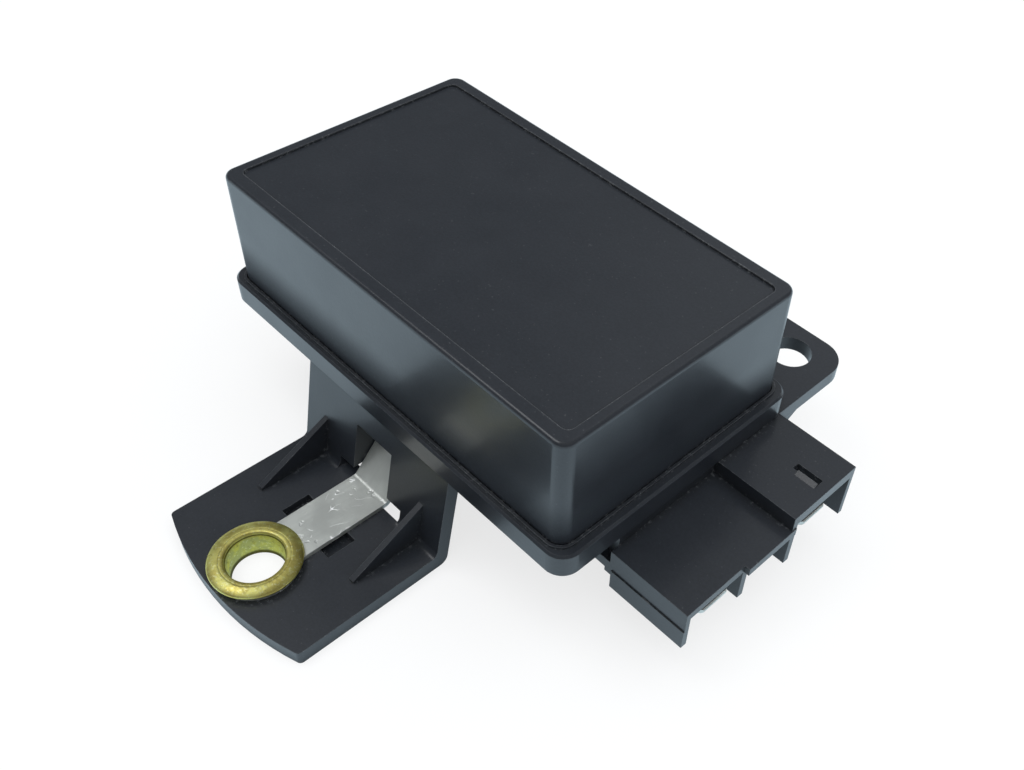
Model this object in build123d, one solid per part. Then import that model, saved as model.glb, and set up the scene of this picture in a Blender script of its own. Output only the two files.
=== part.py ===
from build123d import *
import os
from math import atan, degrees, radians, tan

# Alternator voltage regulator in a two-piece moulded housing.
# Millimetres, +Z up. The origin is on the axis of the earth bush, at the seat of its lug.
# +X points to the blade terminals and +Y to the second fixing ear.

# Where the housing sits over the lug
housing_rise = 17.9          # lug seat to the underside of the housing
housing_setback = 23.35      # bush axis to the lug side of the rim
housing_shift = 1.3          # bush axis to the middle of the housing, along X

# Cover
cover_length = 75.7
cover_width = 46.0
cover_rise = 20.0            # above the rim
cover_wall = 1.8
cover_roof = 2.0
cover_draft = 0.12           # each side, from the top down to the foot
cover_corner_radius = 2.1
cover_edge_round = 0.7
panel_margin_end = 1.9
panel_margin_side = 2.4
panel_depth = 0.4
panel_corner_radius = 1.2

# Rim and floor of the base
rim_ledge_end = 2.05         # past the cover at the top
rim_ledge_side = 1.55
rim_height = 4.5
rim_corner_radius = 3.2
rim_edge_chamfer = 0.35
rim_inner_ledge = 2.8        # width of the ledge that carries the seal
inner_corner_radius = 1.0
floor_thickness = 2.0
seat_depth = 1.6             # rebate that the cover drops into
seat_clearance = 0.15
bead_width = 0.45
bead_height = 0.35
seal_thickness = 0.5

# Lug, web and gussets
lug_width = 34.3
lug_thickness = 2.6
lug_reach = 7.2              # bush axis to the tip
lug_nose_radius = 52.0
lug_corner_radius = 0.8
web_thickness = 2.3
web_lean = 12.0              # degrees
web_inset = 0.35             # behind the side of the rim
web_foot_round = 1.2
web_heel_round = 1.6
gusset_spacing = 24.2
gusset_thickness = 1.0
gusset_run = 12.1
gusset_rise = 7.2
gusset_toe_height = 0.5
window_rise = 11.05          # above the lug's top face
foot_slot_width = 15.5
foot_slot_rise = 2.2
foot_slot_run = 0.2          # the slot starts this far in front of the web
guide_thickness = 1.0        # ribs behind the web, one each side of the strap
guide_drop = 0.8             # they reach this far below the strap's upper bend
pocket_width = 12.3
pocket_length = 4.9
pocket_depth = 1.4
pocket_reach = 8.4           # bush axis to the pocket

# Earth strap
strap_width = 8.2
strap_thickness = 0.8
strap_ring_diameter = 13.0
strap_bend_radius = 1.3      # at mid thickness
strap_slope = 46.5           # degrees
strap_bend_reach = 0.62      # past the web's foot, at the lug's top
strap_tail_inset = 7.85      # lug side of the rim to the upright tail
strap_tail_width = 4.0
strap_clearance = 0.2
strap_shoulder_gap = 0.5     # full width ends this far below the housing

# Earth bush
bush_bore = 8.4
bush_wall = 0.9
bush_flange_diameter = 14.2
bush_flange_thickness = 0.9
bush_mouth_width = 0.5
bush_mouth_depth = 0.45
bush_flare = 0.7
bush_edge_chamfer = 0.2
bush_clearance = 0.1

# Neck under the housing, which carries the hoods and the blades
neck_setback = 0.8           # its front is this far behind the end of the rim
neck_length = 13.4
neck_wall = 2.0
neck_floor = 1.8
neck_chamfer = 2.0
neck_ledge_rise = 2.1        # ledge along its near side, above the blades' seat
neck_ledge_width = 1.6

# Hoods over the blades
hood_near_inset = 10.65      # lug side of the rim to the supply hood
hood_far_inset = 1.45        # far side of the rim to the field hood
hood_wall = 0.9
hood_inner_wall = 1.15
hood_skirt_drop = 3.2        # walls reach this far below the blades
supply_hood_width = 13.3
supply_hood_length = 14.7
supply_hood_top = 14.85      # above the lug seat
supply_plate = 1.5
bridge_length = 15.6
field_hood_width = 14.9
field_hood_length = 15.45
field_plate = 2.0
field_hood_gap = 0.2         # the plate lies this far below the housing's underside
hood_foot_step = 0.2
hood_foot_rise = 0.6         # the step lies this far above the blade's seat
hood_foot_gap = 0.4          # it starts this far in front of the neck
latch_slot_length = 4.7
latch_slot_width = 1.35
latch_slot_from_front = 1.75
latch_rib_width = 0.9        # the rib slopes down over this width
latch_rib_height = 0.4
latch_rib_length = 3.7

# Blades
blade_width = 6.3
blade_thickness = 0.8
blade_setback = 0.5          # the tip is this far inside the supply hood
blade_seat = 10.2            # above the lug seat
blade_offset = 0.6           # past the middle of its hood, towards the ear
blade_bend_radius = 1.2      # at mid thickness
blade_upright_inset = 7.4    # the upright part stands this far behind the neck's wall
blade_tip_chamfer = 0.7
blade_edge_chamfer = 0.2
blade_detent_diameter = 1.7
blade_detent_from_tip = 4.2
blade_tail_width = 2.8
blade_tail_gap = 1.0         # full width ends this far below the board
blade_clearance = 0.05

# Second fixing ear
ear_hole_from_side = 11.0    # far side of the rim to the hole
ear_hole_from_end = 7.95     # end of the rim to the hole
ear_hole_diameter = 7.2
ear_length = 17.35
ear_width = 21.0
ear_thickness = 2.65
ear_corner_radius = 4.8
ear_edge_gap = 0.2           # its edge lies this far inside the end of the rim
ear_root = 6.0
ear_rib_thickness = 1.6
ear_rib_run = 8.5
ear_rib_drop = 4.6

# Circuit board and what carries it
board_gap = 1.3              # to the inside of the cover
board_thickness = 1.6
board_corner_radius = 1.0
post_height = 4.5
post_width = 4.8
post_inset_end = 3.5
post_inset_side = 3.3
post_gap_to_neck = 1.2
pilot_diameter = 2.1
pilot_depth = 5.0
screw_shank_diameter = 2.1
screw_shank_length = 6.0
screw_head_across = 4.0
screw_head_height = 1.5
screw_hole_clearance = 0.6
tail_protrusion = 1.2
lead_clearance = 0.15

# Power transistor on its heat sink
sink_length = 22.0
sink_width = 26.0
sink_plate = 1.5
sink_fold_radius = 1.2
sink_fin_height = 9.0
sink_centre = (-16.0, 0.0)   # from the middle of the board
pad_thickness = 0.2
pad_margin = 0.6
case_width = 10.2
case_length = 9.1
case_height = 4.5
tab_length = 6.5
tab_thickness = 1.3
tab_hole_diameter = 3.4
tab_hole_from_end = 2.8
tab_from_sink_end = 3.0
case_lead_width = 0.8
case_lead_thickness = 0.5
case_lead_pitch = 2.54
case_lead_height = 2.4
case_lead_run = 4.5
clamp_screw_diameter = 3.0
clamp_head_height = 2.0
clamp_across = 5.5           # head and nut, over the flats
clamp_nut_height = 2.4

# Small parts, placed from the middle of the board and lying along it or across it
degrees_from_length = {"along": 0, "across": 90}

# Each wired part has its middle, the way it lies, the body's diameter and length, the wire
# and the distance between its holes.
wired_parts = {
    "freewheel_diode": (5.0, 6.0, "across", 5.3, 9.5, 1.2, 16.0),
    "zener_diode": (18.0, 6.5, "across", 2.7, 5.2, 0.8, 10.2),
    "base_resistor": (11.0, -6.0, "along", 3.2, 9.0, 0.7, 12.7),
    "bias_resistor": (11.0, -10.8, "along", 3.2, 9.0, 0.7, 12.7),
    "feedback_resistor": (11.0, -15.6, "along", 3.2, 9.0, 0.7, 12.7),
    "upper_sense_resistor": (21.2, -4.5, "across", 2.5, 6.5, 0.6, 10.2),
    "lower_sense_resistor": (25.0, -4.5, "across", 2.5, 6.5, 0.6, 10.2),
}
small_transistors = {
    "driver_transistor": (12.0, 9.5),
    "sense_transistor": (12.0, 1.5),
}
small_case_diameter = 4.8
small_case_height = 4.6
small_case_flat = 1.4        # middle to the flat
small_case_standoff = 2.0
small_lead_size = 0.5
small_lead_pitch = 1.27
box_capacitors = {
    "filter_capacitor": (11.5, 16.0, "along"),
    "feedback_capacitor": (26.5, 6.0, "across"),
}
capacitor_size = (7.2, 3.2, 7.0)
capacitor_edge_chamfer = 0.3
capacitor_lead_size = 0.6
capacitor_lead_spacing = 5.0

# Heights and places that follow from the sizes above
rim_length = cover_length + 2 * rim_ledge_end
rim_width = cover_width + 2 * rim_ledge_side
rim_bottom = housing_rise
rim_top = rim_bottom + rim_height
floor_top = rim_bottom + floor_thickness
seat_level = rim_top - seat_depth
cover_foot = seat_level + seal_thickness
cover_top = rim_top + cover_rise
housing_y = housing_setback + rim_width / 2
rim_end = housing_shift + rim_length / 2
rim_far_side = housing_setback + rim_width
foot_length = cover_length + 2 * cover_draft
foot_width = cover_width + 2 * cover_draft
foot_corner_radius = cover_corner_radius + cover_draft
web_slope = tan(radians(web_lean))
neck_front = rim_end - neck_setback
neck_back = neck_front - neck_length
neck_bottom = blade_seat - neck_floor
well_front = neck_front - neck_wall
hood_left_edge = housing_setback + hood_near_inset
neck_side = rim_far_side - hood_far_inset
field_hood_top = rim_bottom - field_hood_gap
skirt_bottom = blade_seat - hood_skirt_drop
hood_step_level = blade_seat + hood_foot_rise
wall_difference = hood_inner_wall - hood_wall
supply_blade_y = hood_left_edge + (supply_hood_width - wall_difference) / 2 + blade_offset
field_blade_y = neck_side - (field_hood_width - wall_difference) / 2 + blade_offset
blade_upright_x = well_front - blade_upright_inset
blade_tip = neck_front + supply_hood_length - blade_setback
board_bottom = floor_top + post_height
board_top = board_bottom + board_thickness
board_length = foot_length - 2 * (cover_wall + board_gap)
board_width = foot_width - 2 * (cover_wall + board_gap)
strap_mid_level = lug_thickness + strap_thickness / 2
strap_tail_reach = housing_setback + strap_tail_inset
bush_outer_radius = bush_bore / 2 + bush_wall
bush_hole_radius = bush_outer_radius + bush_clearance
sink_top = board_top + sink_plate
pad_top = sink_top + pad_thickness
clamp_x = sink_centre[0] - sink_length / 2 + tab_from_sink_end + tab_hole_from_end
case_end = clamp_x - tab_hole_from_end + tab_length + case_length
lead_hole_x = case_end + case_lead_run
post_x_low = -board_length / 2 + post_inset_end
post_x_high = neck_back + neck_wall - post_gap_to_neck - post_width / 2 - housing_shift
post_y = board_width / 2 - post_inset_side
post_places = [(x, y) for x in (post_x_low, post_x_high) for y in (-post_y, post_y)]
solid_reach = 1.0            # how far joined solids run into each other, and cuts past a face


def block(x_range, y_range, z_range):
    """Plain block between two limits on each axis."""
    ranges = (x_range, y_range, z_range)
    size = [high - low for low, high in ranges]
    middle = [(high + low) / 2 for low, high in ranges]
    return Pos(*middle) * Box(*size)


def slab(length, width, low, high, radius=0.0, draft=0.0):
    """Upright slab in the middle of the housing, with rounded corners where a radius is given."""
    lean = degrees(atan(draft / (high - low)))
    outline = RectangleRounded(length, width, radius) if radius else Rectangle(length, width)
    return Pos(housing_shift, housing_y, low) * extrude(outline, high - low, taper=lean)


def rod(x, y, low, high, diameter):
    """Upright rod between two heights."""
    return Pos(x, y, (low + high) / 2) * Cylinder(diameter / 2, high - low)


def side_profile(points, width, middle=0.0):
    """Outline of (y, z) points, as wide as given along X."""
    outline = Plane.YZ * make_face(Polyline(*points, close=True))
    return Pos(middle, 0, 0) * extrude(outline, width / 2, both=True)


def board_place(x, y, way="along"):
    """Place on the board, from its middle."""
    return Pos(housing_shift + x, housing_y + y, 0) * Rot(0, 0, degrees_from_length[way])


def web_front(z):
    """Y of the web's front face at a height."""
    return housing_setback + web_inset - (rim_bottom - z) * web_slope


def strap_knee():
    """Height at which the sloping part of the strap turns upright."""
    bend = web_front(lug_thickness) + strap_bend_reach
    return strap_mid_level + (strap_tail_reach - bend) * tan(radians(strap_slope))


def make_rim():
    """Tray with the rebate for the cover, and the bead round it."""
    rim = slab(rim_length, rim_width, rim_bottom, rim_top, rim_corner_radius)
    rim = chamfer(rim.edges().filter_by(Plane.XY), rim_edge_chamfer)
    seat_length = foot_length + 2 * seat_clearance
    seat_width = foot_width + 2 * seat_clearance
    seat_radius = foot_corner_radius + seat_clearance
    bead_top = rim_top + bead_height
    bead_low = rim_top - bead_height
    bead = slab(seat_length + 2 * bead_width, seat_width + 2 * bead_width, bead_low, bead_top,
                seat_radius + bead_width)
    rebate = slab(seat_length, seat_width, seat_level, bead_top + solid_reach, seat_radius)
    hollow = slab(seat_length - 2 * rim_inner_ledge, seat_width - 2 * rim_inner_ledge, floor_top,
                  bead_top, inner_corner_radius)
    return rim + bead - rebate - hollow


def make_bracket():
    """Lug, leaning web and gussets, with the window and slots for the strap."""
    web_top = rim_bottom + solid_reach
    outline = make_face(Polyline(
        (-lug_reach - solid_reach, 0),
        (web_front(0) + web_thickness, 0),
        (web_front(web_top) + web_thickness, web_top),
        (web_front(web_top), web_top),
        (web_front(lug_thickness), lug_thickness),
        (-lug_reach - solid_reach, lug_thickness),
        close=True,
    ))
    heel = outline.vertices().sort_by_distance((web_front(0) + web_thickness, 0))[0]
    outline = fillet(heel, web_heel_round)
    foot = outline.vertices().sort_by_distance((web_front(lug_thickness), lug_thickness))[0]
    outline = fillet(foot, web_foot_round)
    bracket = extrude(Plane.YZ * outline, lug_width / 2, both=True)
    nose = Pos(0, lug_nose_radius - lug_reach, 0) * Cylinder(lug_nose_radius, 4 * housing_rise)
    bracket = bracket & nose
    corners = bracket.edges().filter_by(Axis.Z).group_by(Axis.Y)[0]
    bracket = fillet(corners, lug_corner_radius)

    toe = web_front(lug_thickness) - gusset_run
    middle = lug_thickness / 2
    top = lug_thickness + gusset_rise
    for side in (-1, 1):
        bracket += side_profile([
            (toe, middle),
            (web_front(middle) + web_thickness / 2, middle),
            (web_front(top) + web_thickness / 2, top),
            (web_front(top), top),
            (toe, lug_thickness + gusset_toe_height),
        ], gusset_thickness, side * gusset_spacing / 2)

    slot_front = web_front(lug_thickness) - foot_slot_run
    slot_back = web_front(rim_bottom) + web_thickness + solid_reach
    round_front = web_front(lug_thickness) - 2 * web_foot_round
    window = strap_width / 2 + strap_clearance
    slot_side = foot_slot_width / 2
    bracket -= block((-window, window), (round_front, slot_back),
                     (lug_thickness, lug_thickness + window_rise))
    bracket -= block((-slot_side, slot_side), (round_front, slot_back),
                     (lug_thickness, lug_thickness + foot_slot_rise))
    bracket -= block((-window, slot_side), (slot_front, slot_back),
                     (-solid_reach, lug_thickness + foot_slot_rise))
    bracket -= block((-pocket_width / 2, pocket_width / 2),
                     (pocket_reach, pocket_reach + pocket_length),
                     (lug_thickness - pocket_depth, lug_thickness + solid_reach))
    bracket -= rod(0, 0, -solid_reach, lug_thickness + solid_reach, 2 * bush_hole_radius)
    bracket -= Pos(0, 0, bush_flare / 2) * Cone(
        bush_hole_radius + bush_flare, bush_hole_radius, bush_flare)
    return bracket


def make_guides():
    """Two ribs behind the web that lead the strap up to the housing."""
    low = lug_thickness + foot_slot_rise
    top = rim_bottom + floor_thickness / 2
    back = strap_tail_reach + strap_thickness / 2 + strap_clearance
    knee = strap_knee() - guide_drop
    middle = strap_width / 2 + strap_clearance + guide_thickness / 2
    guides = [side_profile([
        (web_front(low) + web_thickness / 2, low),
        (back - (knee - low) / tan(radians(strap_slope)), low),
        (back, knee),
        (back, top),
        (web_front(top) + web_thickness / 2, top),
    ], guide_thickness, side * middle) for side in (-1, 1)]
    return guides[0] + guides[1]


def make_neck():
    """Block under the housing that the blades enter."""
    neck = block((neck_back, neck_front), (hood_left_edge, neck_side),
                 (neck_bottom, rim_bottom + solid_reach))
    long_edges = neck.edges().filter_by(Axis.X).group_by(Axis.Z)[0]
    return chamfer(long_edges, neck_chamfer)


def neck_ledge():
    """Cut that sets back the near side of the neck above its ledge."""
    return block((neck_back - solid_reach, neck_front),
                 (hood_left_edge - solid_reach, hood_left_edge + neck_ledge_width),
                 (blade_seat + neck_ledge_rise, rim_bottom))


def neck_well():
    """Hollow of the neck, open into the housing."""
    return block((neck_back + neck_wall, well_front),
                 (hood_left_edge + neck_ledge_width + neck_wall, neck_side - neck_wall),
                 (blade_seat, floor_top + solid_reach))


def make_hoods():
    """Supply hood, field hood and the plate between them."""
    root = neck_front - solid_reach
    supply_front = neck_front + supply_hood_length
    bridge_front = neck_front + bridge_length
    field_front = neck_front + field_hood_length
    supply_far = hood_left_edge + supply_hood_width
    field_near = neck_side - field_hood_width
    supply_inner = supply_far - hood_inner_wall
    hoods = block((root, supply_front), (hood_left_edge, supply_far),
                  (supply_hood_top - supply_plate, supply_hood_top))
    hoods += block((root, bridge_front), (supply_far - solid_reach, field_near + solid_reach),
                   (supply_hood_top - supply_plate, supply_hood_top))
    hoods += block((root, field_front), (field_near, neck_side),
                   (field_hood_top - field_plate, field_hood_top))
    hoods += block((root, supply_front), (hood_left_edge, hood_left_edge + hood_wall),
                   (neck_bottom + neck_chamfer - hood_wall, supply_hood_top))
    hoods += block((neck_front + hood_foot_gap, supply_front),
                   (hood_left_edge - hood_foot_step, hood_left_edge + hood_wall),
                   (skirt_bottom, hood_step_level))
    hoods += block((root, supply_front), (supply_inner, supply_far),
                   (skirt_bottom, supply_hood_top))
    hoods += block((root, field_front), (field_near, field_near + hood_inner_wall),
                   (skirt_bottom, field_hood_top))
    hoods += block((root, field_front), (neck_side - hood_wall, neck_side),
                   (skirt_bottom, field_hood_top))

    slot_front = field_front - latch_slot_from_front
    slot_low = field_blade_y - latch_slot_width / 2
    hoods += side_profile([
        (slot_low - latch_rib_width, field_hood_top),
        (slot_low, field_hood_top + latch_rib_height),
        (slot_low, field_hood_top - solid_reach),
        (slot_low - latch_rib_width, field_hood_top - solid_reach),
    ], latch_rib_length, slot_front - latch_rib_length / 2)
    hoods -= block((slot_front - latch_slot_length, slot_front),
                   (slot_low, slot_low + latch_slot_width),
                   (field_hood_top - field_plate - solid_reach, field_hood_top + solid_reach))
    return hoods


def blade_slots():
    """Slots through the neck's front wall, with the blades lying on the neck's floor."""
    slots = []
    for middle in (supply_blade_y, field_blade_y):
        half = blade_width / 2 + blade_clearance
        slots.append(block((well_front - solid_reach, neck_front + solid_reach),
                           (middle - half, middle + half),
                           (blade_seat, blade_seat + blade_thickness + blade_clearance)))
    return slots


def make_ear():
    """Second fixing ear with its two ribs, flush with the underside of the housing."""
    near = rim_end - ear_edge_gap
    root = rim_far_side - ear_root
    level = rim_bottom - ear_thickness
    ear = block((near - ear_width, near), (root, rim_far_side + ear_length), (level, rim_bottom))
    corners = ear.edges().filter_by(Axis.Z).group_by(Axis.Y)[-1]
    ear = fillet(corners, ear_corner_radius)
    ear += block((near - ear_width, near - rim_corner_radius),
                 (root, rim_far_side - rim_corner_radius),
                 (level, rim_bottom + floor_thickness / 2))
    rib_top = level + ear_thickness / 2
    half = ear_rib_thickness / 2
    for middle in (neck_back + half, neck_front - half):
        ear += side_profile([
            (neck_side - neck_wall / 2, rib_top),
            (neck_side + ear_rib_run, rib_top),
            (neck_side + ear_rib_run, level),
            (neck_side, level - ear_rib_drop),
            (neck_side - neck_wall / 2, level - ear_rib_drop),
        ], ear_rib_thickness, middle)
    return ear


def ear_hole():
    """Fixing hole through the ear."""
    return rod(rim_end - ear_hole_from_end, rim_far_side + ear_hole_from_side,
               rim_bottom - ear_thickness - solid_reach, rim_bottom + solid_reach,
               ear_hole_diameter)


def make_base():
    """Whole moulded base."""
    base = make_rim() + make_bracket() + make_guides()
    base += make_neck() + make_hoods() - neck_ledge()
    base += make_ear()
    base -= neck_well()
    for slot in blade_slots():
        base -= slot
    base -= ear_hole()
    tail = strap_tail_width / 2 + strap_clearance
    depth = strap_thickness / 2 + strap_clearance
    base -= block((-tail, tail), (strap_tail_reach - depth, strap_tail_reach + depth),
                  (rim_bottom - solid_reach, floor_top + solid_reach))
    for x, y in post_places:
        base += board_place(x, y) * square_leg((0, 0), 0, (floor_top - solid_reach, board_bottom),
                                               post_width)
        base -= board_place(x, y) * rod(0, 0, board_bottom - pilot_depth,
                                        board_bottom + solid_reach, pilot_diameter)
    return base


def make_cover():
    """Cover with draft, rounded top edges and the sunk panel."""
    height = cover_top - cover_foot
    cover = slab(foot_length, foot_width, cover_foot, cover_top, foot_corner_radius, cover_draft)
    cover = fillet(cover.edges().group_by(Axis.Z)[-1], cover_edge_round)
    inside = slab(foot_length - 2 * cover_wall, foot_width - 2 * cover_wall, cover_foot,
                  cover_foot + height - cover_roof, draft=cover_draft)
    panel = slab(cover_length - 2 * panel_margin_end, cover_width - 2 * panel_margin_side,
                 cover_top - panel_depth, cover_top + solid_reach, panel_corner_radius)
    return cover - inside - panel


def make_seal():
    """Ring of sealant between the cover's foot and its seat."""
    ring = slab(foot_length, foot_width, seat_level, cover_foot, foot_corner_radius)
    return ring - slab(foot_length - 2 * cover_wall, foot_width - 2 * cover_wall,
                       seat_level - solid_reach, cover_foot + solid_reach)


def bent_strip(points, width, thickness, radius, across):
    """Strip of sheet along a path of points, with the given direction across it."""
    path = FilletPolyline(*points, radius=radius)
    section = Plane(origin=path @ 0, x_dir=across, z_dir=path % 0) * Rectangle(width, thickness)
    return sweep(section, path=path)


def narrowed(strip, x_range, y_range, level):
    """The strip with only the given ranges kept above a level."""
    reach = 2 * rim_length
    keep = block((-reach, reach), (-reach, reach), (-reach, level))
    keep += block(x_range, y_range, (level - solid_reach, reach))
    return strip & keep


def make_strap():
    """Earth strap from the bush, through the web's window and up into the housing."""
    bend = web_front(lug_thickness) + strap_bend_reach
    strap = bent_strip([
        (0, 0, strap_mid_level),
        (0, bend, strap_mid_level),
        (0, strap_tail_reach, strap_knee()),
        (0, strap_tail_reach, board_top + tail_protrusion),
    ], strap_width, strap_thickness, strap_bend_radius, (1, 0, 0))
    half = strap_tail_width / 2
    strap = narrowed(strip=strap, x_range=(-half, half), y_range=(0, rim_far_side),
                     level=rim_bottom - strap_shoulder_gap)
    top = lug_thickness + strap_thickness
    strap += rod(0, 0, lug_thickness, top, strap_ring_diameter)
    return strap - rod(0, 0, -solid_reach, top + solid_reach, 2 * bush_hole_radius)


def make_bush():
    """Flanged bush through the lug and the strap, flared at its lower end."""
    bore = bush_bore / 2
    seat = lug_thickness + strap_thickness
    top = seat + bush_flange_thickness
    mouth = bore + bush_mouth_width
    flange = bush_flange_diameter / 2
    outline = Polyline(
        (bore, 0),
        (bush_outer_radius + bush_flare, 0),
        (bush_outer_radius, bush_flare),
        (bush_outer_radius, seat),
        (flange, seat),
        (flange, top),
        (mouth, top),
        (bore, top - bush_mouth_depth),
        close=True,
    )
    bush = revolve(Plane.XZ * make_face(outline), Axis.Z)
    rim = bush.edges().filter_by(GeomType.CIRCLE).sort_by(lambda e: e.radius)[-2:]
    return chamfer(rim.sort_by(Axis.Z)[-1], bush_edge_chamfer)


def make_blade(middle):
    """Flat blade that turns up to the board behind the neck's front wall."""
    level = blade_seat + blade_thickness / 2
    blade = bent_strip([
        (blade_tip, middle, level),
        (blade_upright_x, middle, level),
        (blade_upright_x, middle, board_top + tail_protrusion),
    ], blade_width, blade_thickness, blade_bend_radius, (0, 1, 0))
    blade = narrowed(blade, (neck_back, neck_front),
                     (middle - blade_tail_width / 2, middle + blade_tail_width / 2),
                     board_bottom - blade_tail_gap)
    corners = blade.edges().filter_by(Axis.Z).group_by(Axis.X)[-1]
    blade = chamfer(corners, blade_tip_chamfer)
    front = blade.edges().filter_by(Axis.Y).group_by(Axis.X)[-1]
    blade = chamfer(front, blade_edge_chamfer)
    return blade - rod(blade_tip - blade_detent_from_tip, middle, level - blade_thickness,
                       level + blade_thickness, blade_detent_diameter)


def hexagon(x, y, low, high, across):
    """Upright six-sided block between two heights."""
    return Pos(x, y, low) * extrude(RegularPolygon(across / 2, 6, major_radius=False), high - low)


def make_board_screws():
    """Screws that hold the board to the four posts."""
    screw = rod(0, 0, board_top - screw_shank_length, board_top, screw_shank_diameter)
    screw += hexagon(0, 0, board_top, board_top + screw_head_height, screw_head_across)
    return [board_place(x, y) * screw for x, y in post_places]


def make_sink():
    """Folded heat sink with two upright fins."""
    x, y = sink_centre
    reach_x = (x - sink_length / 2, x + sink_length / 2)
    half = sink_width / 2
    sink = block(reach_x, (y - half, y + half), (board_top, board_top + sink_fin_height))
    sink -= block((reach_x[0] - solid_reach, reach_x[1] + solid_reach),
                  (y - half + sink_plate, y + half - sink_plate),
                  (sink_top, board_top + sink_fin_height + solid_reach))
    folds = sink.edges().filter_by(Axis.X).group_by(Axis.Z)[0]
    sink = fillet(folds, sink_fold_radius)
    sink -= rod(clamp_x, y, board_top - solid_reach, sink_top + solid_reach, tab_hole_diameter)
    return board_place(0, 0) * sink


def make_pad():
    """Insulating pad under the power transistor."""
    half = case_width / 2 + pad_margin
    y = sink_centre[1]
    low = clamp_x - tab_hole_from_end - pad_margin
    pad = block((low, case_end + pad_margin), (y - half, y + half), (sink_top, pad_top))
    pad -= rod(clamp_x, y, sink_top - solid_reach, pad_top + solid_reach, tab_hole_diameter)
    return board_place(0, 0) * pad


def make_power_transistor():
    """Power transistor lying on the heat sink, with three legs bent down to the board."""
    y = sink_centre[1]
    half = case_width / 2
    tab_start = clamp_x - tab_hole_from_end
    tab = block((tab_start, case_end - case_length / 2), (y - half, y + half),
                (pad_top, pad_top + tab_thickness))
    tab -= rod(clamp_x, y, pad_top - solid_reach, pad_top + case_height, tab_hole_diameter)
    case = block((tab_start + tab_length, case_end), (y - half, y + half),
                 (pad_top, pad_top + case_height))
    case = chamfer(case.edges().filter_by(Axis.Y).group_by(Axis.Z)[-1], case_height / 10)
    solid = tab + case
    level = pad_top + case_lead_height
    for index in (-1, 0, 1):
        lane = y + index * case_lead_pitch
        solid += bent_strip([
            (case_end - solid_reach, lane, level),
            (lead_hole_x, lane, level),
            (lead_hole_x, lane, board_bottom - tail_protrusion),
        ], case_lead_width, case_lead_thickness, case_lead_thickness, (0, 1, 0))
    return board_place(0, 0) * solid


def make_clamp_screw():
    """Screw through the transistor's tab, the heat sink and the board."""
    seat = pad_top + tab_thickness
    y = sink_centre[1]
    screw = rod(clamp_x, y, board_bottom - clamp_nut_height, seat, clamp_screw_diameter)
    screw += hexagon(clamp_x, y, seat, seat + clamp_head_height, clamp_across)
    return board_place(0, 0) * screw


def make_clamp_nut():
    """Nut under the board."""
    y = sink_centre[1]
    nut = hexagon(clamp_x, y, board_bottom - clamp_nut_height, board_bottom, clamp_across)
    nut -= rod(clamp_x, y, board_bottom - 2 * clamp_nut_height, board_top, clamp_screw_diameter)
    return board_place(0, 0) * nut


def square_leg(x_range, y, z_range, thickness):
    """Square leg or bar, its middle running between two X values."""
    half = thickness / 2
    return block((x_range[0] - half, x_range[1] + half), (y - half, y + half), z_range)


def make_wired_part(x, y, way, diameter, length, wire, spacing):
    """Barrel on a wire whose two ends turn down into the board."""
    level = board_top + diameter / 2
    low = board_bottom - tail_protrusion
    half = spacing / 2
    part = Pos(0, 0, level) * Rot(0, 90, 0) * Cylinder(diameter / 2, length)
    part += square_leg((-half, half), 0, (level - wire / 2, level + wire / 2), wire)
    for side in (-1, 1):
        part += square_leg((side * half, side * half), 0, (low, level + wire / 2), wire)
    return board_place(x, y, way) * part


def make_small_transistor(x, y):
    """Small round-backed transistor on three straight legs."""
    low = board_top + small_case_standoff
    radius = small_case_diameter / 2
    case = rod(0, 0, low, low + small_case_height, small_case_diameter)
    case -= block((-radius, radius), (-2 * radius, -small_case_flat),
                  (low - solid_reach, low + small_case_height + solid_reach))
    for index in (-1, 0, 1):
        middle = index * small_lead_pitch
        case += square_leg((middle, middle), 0, (board_bottom - tail_protrusion, low + solid_reach),
                           small_lead_size)
    return board_place(x, y) * case


def make_capacitor(x, y, way):
    """Boxed film capacitor on two legs."""
    length, width, height = capacitor_size
    box = block((-length / 2, length / 2), (-width / 2, width / 2),
                (board_top, board_top + height))
    box = chamfer(box.edges().filter_by(Axis.Z), capacitor_edge_chamfer)
    for side in (-1, 1):
        middle = side * capacitor_lead_spacing / 2
        box += square_leg((middle, middle), 0, (board_bottom - tail_protrusion,
                                                board_top + solid_reach), capacitor_lead_size)
    return board_place(x, y, way) * box


def leg_hole(x, y, thickness):
    """Hole for a square leg, with the lead clearance all round."""
    return square_leg((x, x), y, (board_bottom - solid_reach, board_top + solid_reach),
                      thickness + 2 * lead_clearance)


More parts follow.
